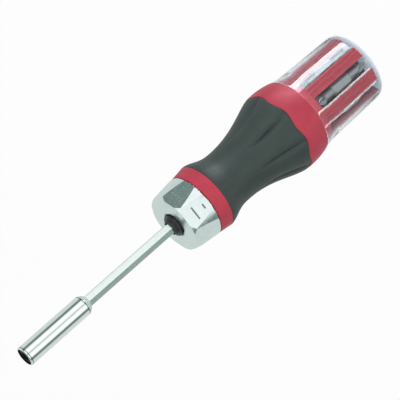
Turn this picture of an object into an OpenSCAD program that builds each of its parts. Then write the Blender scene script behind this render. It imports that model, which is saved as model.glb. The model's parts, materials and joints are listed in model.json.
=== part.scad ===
// Ratcheting screwdriver that keeps its double-ended bits under a clear cap.
// The tool stands on the flat end of its cap: +Z runs up its axis to the bit socket.

/* [Bits and their store] */
// Length of a double-ended bit
bit_len = 38.1; // [34:0.1:44]
// Width across the flats of a bit's hex middle
bit_af = 6.35; // [6:0.05:7]
// Length of the hex middle of a bit
bit_hex_len = 13.4; // [10:0.1:16]
// Radius of the round neck between the hex and a tip
bit_neck_r = 2.1; // [1.8:0.05:2.4]
// Gap between the corners of a bit's hex and the walls of its slot, both sides together
slot_play = 0.75; // [0.4:0.05:2.2]
// How far a rib of the store stands outside the bits
rib_proud = 2.04; // [0.8:0.02:2.6]
// Depth of the two grooves along each rib
rib_groove_depth = 1.4; // [0.8:0.1:2.2]
// Width of a groove at the outside
rib_groove_w = 1.2; // [0.8:0.1:1.6]
// Distance between the two grooves
rib_groove_pitch = 2.6; // [1.8:0.1:3]
// Height of the store's base below the bits
store_base_h = 5.7; // [4.5:0.1:8]

/* [Clear cap] */
// Thickness of the cap's flat end
cap_floor = 1.3; // [1:0.1:2]
// Wall of the cap at its flat end
cap_wall = 1.0; // [0.9:0.05:1.6]
// Room between the ribs of the store and the cap's wall
cap_room = 0.3; // [0.2:0.05:1]
// How far the cap widens along its straight part
cap_widening_w = 0.95; // [0.4:0.05:1.4]
// How far the skirt flares beyond the straight part
cap_flare_w = 1.0; // [0.4:0.1:1.6]
// Length of the flared skirt
skirt_len = 11.2; // [8:0.1:14]
// Rounding of the edge round the flat end
cap_edge_r = 1.1; // [0.6:0.1:1.5]

/* [Handle] */
// Length of the red shoulder from the cap's seam to the middle of the wavy parting line
shoulder_len = 14.2; // [11:0.1:18]
// How far the shoulder swells beyond its edge at the seam
shoulder_swell = 1.4; // [0.6:0.1:2.2]
// Length of the rubber grip
grip_len = 53.4; // [44:0.2:64]
// Radius of the grip at its waist
waist_r = 15.4; // [14.4:0.1:17]
// Radius of the grip where it meets the front ring
grip_front_r = 19.1; // [17.5:0.1:20.5]
// Thickness of the rubber
rubber_t = 2.4; // [1.6:0.1:2.8]
// Rubber left under the creases between the grip's lobes
crease_floor = 0.3; // [0.25:0.05:1.5]
// Height of the waves in the parting line, from the middle
wave_h = 0.72; // [0.3:0.02:1.2]
// Length of the red front ring
ring_len = 7.4; // [5:0.1:10]

/* [Selector collar] */
// Length of the collar
collar_len = 15.3; // [14.4:0.1:18]
// Wall of the collar behind the front end of a flat
flat_wall = 0.95; // [0.7:0.05:2]
// How much further from the axis a flat lies at the collar's rear edge
flat_rise_w = 1.9; // [1:0.05:2.4]
// How far the collar stands outside its flats at their front end
front_proud_w = 1.25; // [0.6:0.05:1.5]
// How far the collar stands outside its flats at its rear edge
rear_proud_w = 0.3; // [0.2:0.05:1]
// Length of the front shoulder
shoulder_chamfer_len = 1.9; // [1:0.1:2.6]
// Width of the front shoulder
shoulder_chamfer_w = 1.2; // [0.6:0.1:1.8]
// Thickness of the collar's front wall
front_wall = 3.4; // [3:0.1:4.2]
// Angle that the collar turns each way from the locked place
selector_turn = 20; // [12:1:22]

/* [Shaft and sleeve] */
// Width across the flats of the hex shaft
shaft_af = 5.5; // [5:0.1:6]
// Length of shaft that shows between the collar and the sleeve
shaft_free = 61.3; // [40:0.5:120]
// Radius of the bit sleeve
sleeve_r = 5.4; // [5:0.05:6]
// Length of the bit sleeve
sleeve_len = 42.6; // [41:0.1:50]
// Room between a bit's flats and the hex socket, both sides together
socket_play = 0.1; // [0.04:0.01:0.3]
// Depth of the hex socket
socket_depth = 26; // [24:0.5:28]
// Thickness of the magnet at the bottom of the socket
magnet_t = 3.6; // [2:0.1:4]

/* [Ratchet] */
// Number of teeth on the ratchet gear
gear_teeth = 24; // [12:12:36]
// Radius of the gear over its teeth
gear_r = 6.6; // [6.4:0.05:6.8]
// Depth of a tooth
tooth_depth = 1.1; // [0.9:0.05:1.2]
// Turn of a pawl while the collar turns by one of its steps
pawl_turn = 6.5; // [5:0.1:6.5]
// Wall of the gear's hub outside the corners of the shaft
hub_wall = 1; // [0.8:0.05:1.2]
// Thickness of the front bearing's wall
bush_wall = 1.15; // [0.8:0.05:1.3]
// Radius of the ratchet housing where it sits in the handle
spigot_r = 9.4; // [8.6:0.1:10.2]

/* [Hidden] */
$fn = 96;

// Fits and small values that several pieces share
overrun = 1;
running_fit = 0.06;
loose_fit = 0.3;
slide_fit = 0.1;
edge_cut = 0.4;
round_steps = 5;
ball_sides = 32;
trim_sides = 24;
lobes = 8;
lobe_angle = 360 / lobes;
first_lobe = -90;
slots = 8;
slot_angle = 360 / slots;

// Store of bits: the slots' walls meet the hub, the hub carries the bits, the cap clears the ribs
bit_corner_r = bit_af / 2 / cos(30);
socket_af = bit_af + socket_play;
slot_w = 2 * bit_corner_r + slot_play;
hub_web = 0.1;
hub_r = slot_w / 2 / sin(slot_angle / 2) + hub_web;
bit_pitch_r = hub_r + bit_af / 2;
tip_len = (bit_len - bit_hex_len) / 2;
store_r = bit_pitch_r + bit_af / 2 + rib_proud;
cap_in_r = store_r + cap_room;
cap_r = cap_in_r + cap_wall;
end_gap = 0.3;
screw_head_r = 3.4;
screw_head_h = 2.2;
screw_r = 1.95;
screw_len = 22;
head_recess = 3;
cap_seam_r = cap_r + cap_widening_w + cap_flare_w;
spigot_wall = 2.5;
base_step = 1.58;
store_base_r = store_r - base_step;
cap_spigot_r = store_base_r + spigot_wall;
cap_spigot_h = 3.8;
seal_r = 0.5;
seal_squeeze = 0.05;

// Heights of the main joints of the tool
z_bits = cap_floor + end_gap;
z_ribs = z_bits + edge_cut;
z_seat = z_bits + bit_len;
z_seam = z_seat + store_base_h;
z_part = z_seam + shoulder_len;
z_ring = z_part + grip_len;
z_front = z_ring + ring_len;
collar_gap = 0.4;
z_collar = z_front + collar_gap;
z_face = z_collar + collar_len;
z_sleeve = z_face + shaft_free;
z_tip = z_sleeve + sleeve_len;

// Handle
seam_r = cap_seam_r + edge_cut / 2;
shoulder_r = seam_r + shoulder_swell;
swell_share = 0.76;
crease_depth = rubber_t - crease_floor;
waist_share = 0.677;
rear_curve_share = 0.72;
front_curve_share = 1.417;
crease_fade_share = 0.6;
crown_share = 0.5;
groove_width_share = 0.26;
edge_crease_share = 0.28;
crease_peak_share = 0.2;
groove_power = 1.3;

// Ratchet, from the handle's front face to the collar's front wall
flange_t = 3.0;
z_flange = z_front + flange_t;
z_pocket = z_flange + edge_cut;
z_gear = z_pocket + loose_fit;
cover_t = 1.4;
z_wall = z_face - front_wall;
z_cover = z_wall - edge_cut - cover_t;
z_gear_top = z_cover - loose_fit;
tooth_half_angle = 180 / gear_teeth;
root_r = gear_r - tooth_depth;
shaft_corner_r = shaft_af / 2 / cos(30);
hub_journal_r = shaft_corner_r + hub_wall;
bush_in_r = hub_journal_r + running_fit;
bush_r = bush_in_r + bush_wall;
hub_rear_len = 10.7;
z_hub = z_gear - hub_rear_len;
rear_bush_len = 9.6;
z_rear_bush = z_pocket - loose_fit - rear_bush_len;
rear_bush_wall = 1.9;
rear_bush_r = bush_in_r + rear_bush_wall;
hub_front_len = 5.8;
z_hub_top = z_gear_top + hub_front_len;
washer_t = 0.9;
z_washer = z_hub - slide_fit - washer_t;
clip_t = 0.7;
clip_w = 1.8;
clip_r = shaft_corner_r + clip_w;
clip_groove_depth = 0.5;
z_clip = z_washer - slide_fit - clip_t;
shaft_tail = 1.6;
z_shaft = z_clip - shaft_tail;
housing_floor = 2;
z_house = z_shaft - shaft_tail - housing_floor;
magnet_web = 1;
z_magnet = z_tip - socket_depth - magnet_t;
z_shaft_end = z_magnet - magnet_web;
socket_corner_r = socket_af / 2 / cos(30);
magnet_r = socket_af / 2 - 2 * slide_fit;
keeper_depth = 4.3;
keeper_sink = 0.43;
keeper_groove_r = socket_corner_r + keeper_sink;
keeper_groove_w = 1.1;
keeper_wire_r = 0.4;

// A pawl: its outline and pivot as shares of the gear's radius, in the locked place.
// The first point is the nose, which lies half way down a tooth space.
pawl_outline_shares = [
    [0.947, 0], [1.114, 0.09], [0.97, 0.545], [1.197, 0.667],
    [1.432, 0.545], [1.273, -0.076], [1.114, -0.09]
];
pivot_share = [1.197, 0.667];
tail_share = [1.258, 1.364];
tail_root_shares = [[1.02, 0.85], [1.155, 1.364], [1.361, 1.364], [1.394, 0.85]];
pocket_shares = [
    [0.83, -0.3], [1.45, -0.3], [1.65, 0.6], [1.55, 1.0],
    [2.0, 1.5], [1.5, 2.0], [0.95, 1.42], [0.78, 0.79]
];
leaf_shares = [
    [1.4, -0.25], [1.38, 0.09], [1.54, 0.5], [1.59, 0.5], [1.43, 0.09], [1.45, -0.25]
];
pivot_pin_r = 0.9;
pawl_boss_r = 1.75;
tail_end_r = 0.7;
z_pawl = z_pocket + loose_fit;
z_pawl_top = z_cover - loose_fit;
pin_sink = 2.4;

// Cam ring in the collar: its inside follows the pawls' tails as the collar turns
tail_r = gear_r * norm(tail_share) + tail_end_r;
tail_angle = atan2(tail_share[1], tail_share[0]);
function turned(v, a) = [v[0] * cos(a) - v[1] * sin(a), v[0] * sin(a) + v[1] * cos(a)];
function tail_at(a) = gear_r * norm(pivot_share + turned(tail_share - pivot_share, a));
tail_lift = (tail_at(-pawl_turn) - tail_at(pawl_turn)) / 2;
cam_play = 0.15;
cam_margin = 8;
cam_mean_r = tail_r + cam_play;
cam_reach = tail_lift * (selector_turn + cam_margin) / selector_turn;
cam_min_r = cam_mean_r - cam_reach;
cam_wall = 0.65;
cam_r = cam_mean_r + cam_reach + cam_wall;
head_r = cam_min_r - loose_fit;
bore_step = 0.8;
flange_bore_r = cam_r + bore_step;
flange_r = flange_bore_r - running_fit;
neck_hole_r = bush_r + slide_fit;
flat_front = flange_bore_r + flat_wall;
flat_rear = flat_front + flat_rise_w;
collar_front_r = flat_front + front_proud_w;
collar_rear_r = flat_rear + rear_proud_w;
ring_front_r = collar_rear_r - edge_cut / 4;

// Detent: a sprung ball in the housing's flange, in a groove of the collar that also stops it
ball_r = 0.9;
ball_proud = 0.35;
ball_r_pos = flange_bore_r + ball_proud - ball_r;
ball_lift = 0.15;
z_ball = z_front + flange_t / 2 + ball_lift;
ball_half_w = sqrt(pow(ball_r, 2) - pow(ball_r - ball_proud, 2));
detent_angle = 270;
detent_depth = 4.6;
groove_play = 0.1;
spring_wire_r = 0.17;
spring_r = 0.66;
spring_turns = 4;
rings_a_turn = 8;
coil_rings = spring_turns * rings_a_turn;
coil_sides = 6;
spring_from = flange_r - detent_depth + spring_wire_r;
spring_to = ball_r_pos - ball_r * cos(asin(spring_r / ball_r)) - spring_wire_r;

// Screws that hold the cover plate, and splines that key the housing in the handle
cover_screw_r = 1;
cover_screw_len = 5;
cover_head_r = 1.9;
cover_head_h = 0.8;
cover_screw_pitch_r = (gear_r + loose_fit + head_r) / 2;
cover_screw_angles = [90, 270];
splines = 6;
spline_w = 2;
spline_h = 1.2;

// Nose that keeps the collar on
nose_lip_w = 0.8;
nose_r = bush_r + nose_lip_w;
nose_step_w = 1.2;
nose_step_r = nose_r - nose_step_w;
nose_recess = 1.6;
nose_rise = 1.5;
nose_front_rise = 1.5;
wiper_t = 0.9;
wiper_r = nose_step_r - nose_step_w / 2;

// Marks cut in the collar's flats
mark_depth = 0.3;
mark_w = 0.9;
mark_long = 7.2;
mark_short = 2.8;
mark_gap = 5.6;
mark_from_face = 6.2;
marked_flats = [0, 1, 4, 5];

// Tips of the bits: shank radius and flute of a cross, width and thickness of a blade, radius of a key
cross_large_r = 3.0;
cross_large_flute = 0.62;
cross_small_r = 2.4;
cross_small_flute = 0.5;
flat_wide_w = 6.2;
flat_wide_t = 1.0;
flat_narrow_w = 4.6;
flat_narrow_t = 0.8;
star_large_r = 2.2;
star_small_r = 1.8;
square_key_r = 1.9;
hexagon_key_r = 2.2;
bit_tips = [
    ["cross large", "cross small"], ["cross large", "flat narrow"], ["star large", "star small"],
    ["flat wide", "flat narrow"], ["square", "square"], ["hexagon", "star small"],
    ["cross small", "flat wide"], ["star large", "hexagon"]
];

// Rubber grip's mesh
steps_a_lobe = 14;
around = lobes * steps_a_lobe;
grip_rings = 22;
lining_rings = 8;
lining_gap = 0.08;
grip_edge_round = 0.35;

function wave_z(a) = z_part - wave_h * cos(lobes * a);
function nearest_crease(a) = a - lobe_angle * round(a / lobe_angle);

// Radius of the grip over its lobes at a share of its length, 0 at the parting line, 1 at the ring
function grip_share(t) =
    t < waist_share
        ? (1 + cos(180 * pow(t / waist_share, rear_curve_share))) / 2
        : (1 - cos(180 * pow((t - waist_share) / (1 - waist_share), front_curve_share))) / 2;
function grip_r(t) =
    waist_r + grip_share(min(1, max(0, t)))
        * ((t < waist_share ? shoulder_at(z_part) : grip_front_r) - waist_r);
function grip_t(z) = (z - z_part) / (z_ring - z_part);

// Radius of the red shoulder: one shallow arc that swells towards the grip
function shoulder_at(z) =
    let (peak = swell_share * shoulder_len)
        shoulder_r - shoulder_swell * pow((z - z_seam - peak) / peak, 2);

// Depth of a crease along the grip, and of the crown and the groove across one lobe
function crease_share(t) =
    t < 0 ? edge_crease_share
    : t < crease_peak_share ? edge_crease_share + (1 - edge_crease_share) * sin(90 * t / crease_peak_share)
    : t < crease_fade_share
        ? (1 + cos(180 * (t - crease_peak_share) / (crease_fade_share - crease_peak_share))) / 2
    : 0;
function across(a) = 1 - abs(nearest_crease(a)) / (lobe_angle / 2);
function crease_form(a) =
    crown_share * pow(across(a), 2)
        + (1 - crown_share) * pow(max(0, 1 - (1 - across(a)) / groove_width_share), groove_power);
function grip_surface(a, z) = grip_r(grip_t(z)) - crease_depth * crease_share(grip_t(z)) * crease_form(a);
function lining_surface(z) = grip_r(grip_t(z)) - rubber_t;

// Distance from the axis to a collar flat at height z, and the lean of the flat
flat_lean = atan2(flat_rear - flat_front, collar_len - shoulder_chamfer_len);

// Points of a rounded edge at radius r and height z, from its side to its top
function round_corner(r, z, fillet, n) = [
    for (i = [0 : n])
        [r - fillet * (1 - cos(90 * i / n)), z - fillet * (1 - sin(90 * i / n))]
];

module hex_bar(af, h) {
    cylinder(r = af / 2 / cos(30), h = h, $fn = 6);
}

module ring(r_out, r_in, h) {
    difference() {
        cylinder(r = r_out, h = h);
        translate([0, 0, -overrun])
            cylinder(r = r_in, h = h + 2 * overrun);
    }
}

// Spindle

module bit_sleeve() {
    rear_step = 1.2;
    rear_r = sleeve_r - rear_step;
    rear_cone = 2.0;
    rear_round = 1.0;
    front_round = 0.6;
    lip_w = 0.75;
    mouth_r = sleeve_r - lip_w;
    mouth_bore = 1.0;
    lead_r = socket_af / 2 - slide_fit;
    color([0.76, 0.79, 0.79])
        difference() {
            rotate_extrude()
                polygon(concat(
                    [
                        [0, z_sleeve], [rear_r - rear_round, z_sleeve], [rear_r, z_sleeve + rear_round],
                        [sleeve_r, z_sleeve + rear_round + rear_cone]
                    ],
                    round_corner(sleeve_r, z_tip, front_round, round_steps),
                    [[0, z_tip]]
                ));
            translate([0, 0, z_sleeve - overrun])
                rotate(30)
                    hex_bar(shaft_af, z_shaft_end - z_sleeve + overrun);
            translate([0, 0, z_magnet])
                cylinder(r = magnet_r, h = magnet_t + overrun);
            translate([0, 0, z_tip - socket_depth])
                rotate(30)
                    hex_bar(socket_af, socket_depth + overrun);
            rotate_extrude()
                polygon([
                    [0, z_tip + overrun], [mouth_r, z_tip + overrun], [mouth_r, z_tip - mouth_bore],
                    [lead_r, z_tip - mouth_bore - mouth_r + lead_r], [0, z_tip - mouth_bore - mouth_r + lead_r]
                ]);
            translate([0, 0, z_tip - keeper_depth])
                cylinder(r = keeper_groove_r, h = keeper_groove_w);
        }
}

module socket_magnet() {
    color([0.3, 0.31, 0.32])
        translate([0, 0, z_magnet])
            cylinder(r = magnet_r, h = magnet_t);
}

module bit_retaining_ring() {
    ring_gap = 30;
    color([0.5, 0.52, 0.54])
        translate([0, 0, z_tip - keeper_depth + keeper_groove_w / 2])
            rotate(ring_gap)
                rotate_extrude(angle = 360 - 2 * ring_gap)
                    translate([keeper_groove_r - keeper_wire_r - running_fit / 2, 0])
                        circle(r = keeper_wire_r, $fn = trim_sides);
}

module drive_shaft() {
    lead = 0.5;
    shaft_len = z_shaft_end - z_shaft;
    color([0.74, 0.77, 0.77])
        difference() {
            translate([0, 0, z_shaft])
                intersection() {
                    rotate(30)
                        hex_bar(shaft_af, shaft_len);
                    rotate_extrude()
                        polygon([
                            [0, 0], [shaft_corner_r - lead, 0], [shaft_corner_r, lead],
                            [shaft_corner_r, shaft_len - lead], [shaft_corner_r - lead, shaft_len],
                            [0, shaft_len]
                        ]);
                }
            translate([0, 0, z_clip])
                ring(shaft_corner_r + overrun, shaft_af / 2 - clip_groove_depth, clip_t);
        }
}

// One closed outline of all the teeth: a blunt crest and a V-shaped space each
module gear_outline() {
    crest_share = 0.13;
    polygon([
        for (i = [0 : gear_teeth - 1])
            for (p = [[0, root_r], [1 - crest_share, gear_r], [1 + crest_share, gear_r]])
                let (a = (2 * i + p[0]) * tooth_half_angle)
                    [p[1] * cos(a), p[1] * sin(a)]
    ]);
}

module ratchet_gear() {
    color([0.5, 0.5, 0.48])
        difference() {
            union() {
                translate([0, 0, z_gear])
                    linear_extrude(z_gear_top - z_gear)
                        gear_outline();
                translate([0, 0, z_hub])
                    cylinder(r = hub_journal_r, h = z_hub_top - z_hub);
            }
            translate([0, 0, z_hub - overrun])
                rotate(30)
                    hex_bar(shaft_af, z_hub_top - z_hub + 2 * overrun);
        }
}

module thrust_washer() {
    color([0.66, 0.6, 0.42])
        translate([0, 0, z_washer])
            ring(rear_bush_r - 2 * loose_fit, shaft_corner_r + slide_fit, washer_t);
}

module shaft_clip() {
    mouth_share = 0.8;
    color([0.28, 0.28, 0.3])
        translate([0, 0, z_clip])
            difference() {
                ring(clip_r, shaft_af / 2 - clip_groove_depth, clip_t);
                translate([0, -mouth_share * shaft_af / 2, -overrun])
                    cube([clip_r + overrun, mouth_share * shaft_af, clip_t + 2 * overrun]);
            }
}

// Front of the tool: what keeps and guides the collar and the shaft

module nose_bushing() {
    nose_round = 0.6;
    step_z = z_face + nose_rise;
    front_z = step_z + nose_front_rise - wiper_t;
    color([0.1, 0.11, 0.11])
        rotate_extrude()
            polygon(concat(
                [[bush_r, z_face - nose_recess + slide_fit], [nose_r, z_face - nose_recess + slide_fit]],
                round_corner(nose_r, step_z, nose_round, round_steps),
                [[nose_step_r, step_z]],
                round_corner(nose_step_r, front_z, edge_cut, round_steps),
                [
                    [shaft_corner_r + slide_fit, front_z],
                    [shaft_corner_r + slide_fit, z_hub_top + slide_fit * 2],
                    [bush_r, z_hub_top + slide_fit * 2]
                ]
            ));
}

module nose_wiper() {
    lip = 0.35;
    base_z = z_face + nose_rise + nose_front_rise - wiper_t;
    color([0.07, 0.07, 0.07])
        rotate_extrude()
            polygon([
                [shaft_corner_r + slide_fit, base_z], [wiper_r, base_z], [wiper_r, base_z + lip],
                [wiper_r - lip, base_z + wiper_t], [shaft_corner_r + slide_fit, base_z + wiper_t]
            ]);
}

module front_bush() {
    color([0.68, 0.55, 0.34])
        translate([0, 0, z_cover])
            ring(bush_r, bush_in_r, z_hub_top - z_cover + slide_fit * 2);
}

module rear_bush() {
    color([0.68, 0.55, 0.34])
        translate([0, 0, z_rear_bush])
            ring(rear_bush_r, bush_in_r, rear_bush_len);
}

// Selector collar and the cam ring inside it

module collar_flats() {
    for (i = [0 : lobes - 1])
        rotate(first_lobe + i * lobe_angle)
            translate([flat_rear, -collar_rear_r, z_collar])
                rotate([0, -flat_lean, 0])
                    translate([0, 0, -collar_len])
                        cube([collar_rear_r, 2 * collar_rear_r, 3 * collar_len]);
}

module collar_marks() {
    for (i = marked_flats)
        rotate(first_lobe + i * lobe_angle)
            translate([flat_front, 0, z_face - shoulder_chamfer_len])
                rotate([0, -flat_lean, 0]) {
                    translate([
                        -mark_depth, -mark_long / 2,
                        shoulder_chamfer_len - mark_from_face - mark_w / 2
                    ])
                        cube([mark_depth + overrun, mark_long, mark_w]);
                    translate([
                        -mark_depth, -mark_short / 2,
                        shoulder_chamfer_len - mark_from_face - mark_gap - mark_w / 2
                    ])
                        cube([mark_depth + overrun, mark_short, mark_w]);
                }
}

module collar_groove() {
    groove_angle = 2 * (selector_turn + atan2(ball_half_w + groove_play, flange_bore_r));
    groove_h = 2 * (ball_half_w + groove_play);
    dimple_depth = 0.15;
    rotate(detent_angle - groove_angle / 2)
        rotate_extrude(angle = groove_angle)
            translate([flange_bore_r - overrun, z_ball - groove_h / 2])
                square([overrun + ball_proud + groove_play, groove_h]);
    for (a = [-selector_turn, 0, selector_turn])
        rotate(detent_angle + a)
            translate([flange_bore_r + ball_proud + groove_play + dimple_depth - ball_r, 0, z_ball])
                sphere(r = ball_r, $fn = ball_sides);
}

module selector_collar() {
    recess_flare = 0.7;
    color([0.8, 0.83, 0.82])
        difference() {
            rotate_extrude()
                polygon([
                    [0, z_collar], [collar_rear_r - edge_cut, z_collar],
                    [collar_rear_r, z_collar + edge_cut],
                    [collar_front_r, z_face - shoulder_chamfer_len],
                    [collar_front_r - shoulder_chamfer_w, z_face], [0, z_face]
                ]);
            collar_flats();
            collar_marks();
            translate([0, 0, z_collar - overrun])
                cylinder(r = flange_bore_r, h = z_flange + loose_fit - z_collar + overrun);
            translate([0, 0, z_collar])
                cylinder(r = cam_r, h = z_wall - z_collar);
            translate([0, 0, z_wall - overrun])
                cylinder(r = neck_hole_r, h = front_wall + 2 * overrun);
            translate([0, 0, z_face - nose_recess])
                cylinder(
                    r1 = nose_r + loose_fit, r2 = nose_r + loose_fit + recess_flare, h = nose_recess
                );
            translate([0, 0, z_face])
                cylinder(r = nose_r + loose_fit + recess_flare, h = overrun);
            collar_groove();
        }
}

// Inside of the cam at angle a: a ramp for each pawl's tail, mirrored about the 90 degree line
function cam_in_r(a) =
    let (d = 90 - abs(a - 90), reach = selector_turn + cam_margin)
        cam_mean_r + tail_lift * min(reach, max(-reach, d - tail_angle)) / selector_turn;

module selector_cam() {
    cam_points = 120;
    color([0.55, 0.56, 0.56])
        translate([0, 0, z_gear])
            difference() {
                cylinder(r = cam_r, h = z_gear_top - z_gear);
                translate([0, 0, -overrun])
                    linear_extrude(z_gear_top - z_gear + 2 * overrun)
                        polygon([
                            for (i = [0 : cam_points - 1])
                                let (a = first_lobe + i * 360 / cam_points)
                                    cam_in_r(a) * [cos(a), sin(a)]
                        ]);
            }
}

// Ratchet housing

// The second pawl is the first one mirrored and turned by half a turn
module for_both_pawls() {
    children();
    rotate(180)
        mirror([0, 1, 0])
            children();
}

module ratchet_housing() {
    chamber_r = gear_r + loose_fit;
    color([0.62, 0.62, 0.6])
        difference() {
            union() {
                translate([0, 0, z_house])
                    cylinder(r = spigot_r, h = z_front - z_house);
                translate([0, 0, z_front])
                    cylinder(r = flange_r, h = flange_t);
                translate([0, 0, z_flange])
                    cylinder(r = head_r, h = z_cover - z_flange);
                housing_splines(0);
            }
            translate([0, 0, z_house + housing_floor])
                cylinder(r = rear_bush_r, h = z_cover - z_house);
            translate([0, 0, z_pocket])
                cylinder(r = chamber_r, h = z_cover - z_pocket + overrun);
            for_both_pawls() {
                translate([0, 0, z_pocket])
                    linear_extrude(z_cover - z_pocket + overrun)
                        polygon(gear_r * pocket_shares);
                translate([gear_r * pivot_share[0], gear_r * pivot_share[1], z_pocket - pin_sink])
                    cylinder(r = pivot_pin_r, h = pin_sink + overrun);
            }
            for (a = cover_screw_angles)
                rotate(a)
                    translate([cover_screw_pitch_r, 0, z_cover - cover_screw_len])
                        cylinder(r = cover_screw_r, h = cover_screw_len + overrun);
            rotate(detent_angle)
                translate([flange_r - detent_depth, 0, z_ball])
                    rotate([0, 90, 0])
                        cylinder(r = ball_r + slide_fit / 2, h = detent_depth + overrun);
        }
}

module housing_splines(play) {
    for (i = [0 : splines - 1])
        rotate(i * 360 / splines)
            translate([0, -spline_w / 2 - play, z_house - play])
                cube([
                    spigot_r + spline_h + play, spline_w + 2 * play,
                    z_front - z_house - spline_w + play
                ]);
}

module cover_plate() {
    color([0.6, 0.61, 0.6])
        difference() {
            translate([0, 0, z_cover])
                cylinder(r = head_r - edge_cut / 2, h = cover_t);
            translate([0, 0, z_cover - overrun])
                cylinder(r = bush_r, h = cover_t + 2 * overrun);
            for (a = cover_screw_angles)
                rotate(a)
                    translate([cover_screw_pitch_r, 0, z_cover - overrun]) {
                        cylinder(r = cover_screw_r, h = cover_t + 2 * overrun);
                        translate([0, 0, overrun + cover_t - cover_head_h])
                            cylinder(r = cover_head_r, h = cover_head_h + overrun);
                    }
            for_both_pawls()
                translate([gear_r * pivot_share[0], gear_r * pivot_share[1], z_cover - overrun])
                    cylinder(r = pivot_pin_r, h = cover_t + 2 * overrun);
        }
}

module cover_screws() {
    slot_t = 0.4;
    color([0.35, 0.36, 0.37])
        for (a = cover_screw_angles)
            rotate(a)
                translate([cover_screw_pitch_r, 0, z_cover])
                    difference() {
                        union() {
                            translate([0, 0, -cover_screw_len])
                                cylinder(r = cover_screw_r, h = cover_screw_len + cover_t - cover_head_h);
                            translate([0, 0, cover_t - cover_head_h])
                                cylinder(r = cover_head_r, h = cover_head_h);
                        }
                        translate([-cover_head_r - overrun, -slot_t / 2, cover_t - slot_t])
                            cube([2 * (cover_head_r + overrun), slot_t, slot_t + overrun]);
                    }
}

// One pawl in its locked place: a nose for the gear, a boss on its pin, a tail for the cam
module pawl() {
    translate([0, 0, z_pawl])
        difference() {
            union() {
                linear_extrude(z_pawl_top - z_pawl)
                    polygon(gear_r * pawl_outline_shares);
                linear_extrude(z_pawl_top - z_pawl)
                    polygon(gear_r * tail_root_shares);
                translate([gear_r * pivot_share[0], gear_r * pivot_share[1], 0])
                    cylinder(r = pawl_boss_r, h = z_pawl_top - z_pawl);
                translate([gear_r * tail_share[0], gear_r * tail_share[1], 0])
                    cylinder(r = tail_end_r, h = z_pawl_top - z_pawl);
            }
            translate([gear_r * pivot_share[0], gear_r * pivot_share[1], -overrun])
                cylinder(r = pivot_pin_r + running_fit, h = z_pawl_top - z_pawl + 2 * overrun);
        }
}

module pawl_forward() {
    color([0.44, 0.45, 0.47])
        pawl();
}

module pawl_reverse() {
    color([0.44, 0.45, 0.47])
        rotate(180)
            mirror([0, 1, 0])
                pawl();
}

module pawl_pins() {
    color([0.7, 0.71, 0.72])
        for_both_pawls()
            translate([gear_r * pivot_share[0], gear_r * pivot_share[1], z_pocket - pin_sink])
                cylinder(r = pivot_pin_r, h = z_cover + cover_t - z_pocket + pin_sink);
}

module pawl_springs() {
    color([0.58, 0.6, 0.62])
        for_both_pawls()
            translate([0, 0, z_pawl])
                linear_extrude(z_pawl_top - z_pawl)
                    polygon(gear_r * leaf_shares);
}

module detent_ball() {
    color([0.8, 0.8, 0.8])
        rotate(detent_angle)
            translate([ball_r_pos, 0, z_ball])
                sphere(r = ball_r, $fn = ball_sides);
}

// Coil of the detent spring: one tube swept along a helix, with a closed end each side
function coil_centre(i) =
    [
        spring_from + (spring_to - spring_from) * i / coil_rings,
        spring_r * cos(360 * i / rings_a_turn),
        spring_r * sin(360 * i / rings_a_turn)
    ];
function coil_point(i, j) =
    let (
        turn = 360 * i / rings_a_turn,
        side = 360 * j / coil_sides,
        lean = atan2((spring_to - spring_from) / spring_turns, 2 * PI * spring_r),
        outward = [0, cos(turn), sin(turn)],
        along = [cos(lean), sin(lean) * sin(turn), -sin(lean) * cos(turn)]
    )
        coil_centre(i) + spring_wire_r * (cos(side) * outward + sin(side) * along);
coil_gap = min([
    for (i = [0 : coil_rings - rings_a_turn])
        norm(coil_centre(i + rings_a_turn) - coil_centre(i)) - 2 * spring_wire_r
]);

module detent_spring() {
    echo(least_gap_between_turns = coil_gap);
    color([0.6, 0.6, 0.62])
        rotate(detent_angle)
            translate([0, 0, z_ball])
                polyhedron(
                    points = [for (i = [0 : coil_rings]) for (j = [0 : coil_sides - 1]) coil_point(i, j)],
                    faces = concat(
                        [[for (j = [coil_sides - 1 : -1 : 0]) j]],
                        [
                            for (i = [0 : coil_rings - 1])
                                for (j = [0 : coil_sides - 1])
                                    for (half = [0, 1])
                                        let (
                                            k = (j + 1) % coil_sides,
                                            a = i * coil_sides + j,
                                            b = i * coil_sides + k,
                                            c = a + coil_sides,
                                            d = b + coil_sides
                                        )
                                            half == 0 ? [a, b, d] : [a, d, c]
                        ],
                        [[for (j = [0 : coil_sides - 1]) coil_rings * coil_sides + j]]
                    )
                );
}

// Handle

module shoulder_profile() {
    steps = 12;
    polygon(concat(
        [[0, z_seam], [seam_r - edge_cut, z_seam]],
        [
            for (i = [0 : steps])
                let (z = z_seam + edge_cut + (z_part + wave_h - z_seam - edge_cut) * i / steps)
                    [shoulder_at(z), z]
        ],
        [[0, z_part + wave_h]]
    ));
}

// Core under the rubber, its radius worked out at the same heights as the rubber's lining
module core_profile() {
    polygon(concat(
        [[0, z_seam], [lining_surface(z_part), z_seam], [lining_surface(z_part), z_part]],
        [
            for (i = [1 : lining_rings])
                let (z = z_part + grip_len * i / lining_rings)
                    [lining_surface(z), z]
        ],
        [[0, z_ring]]
    ));
}

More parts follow.
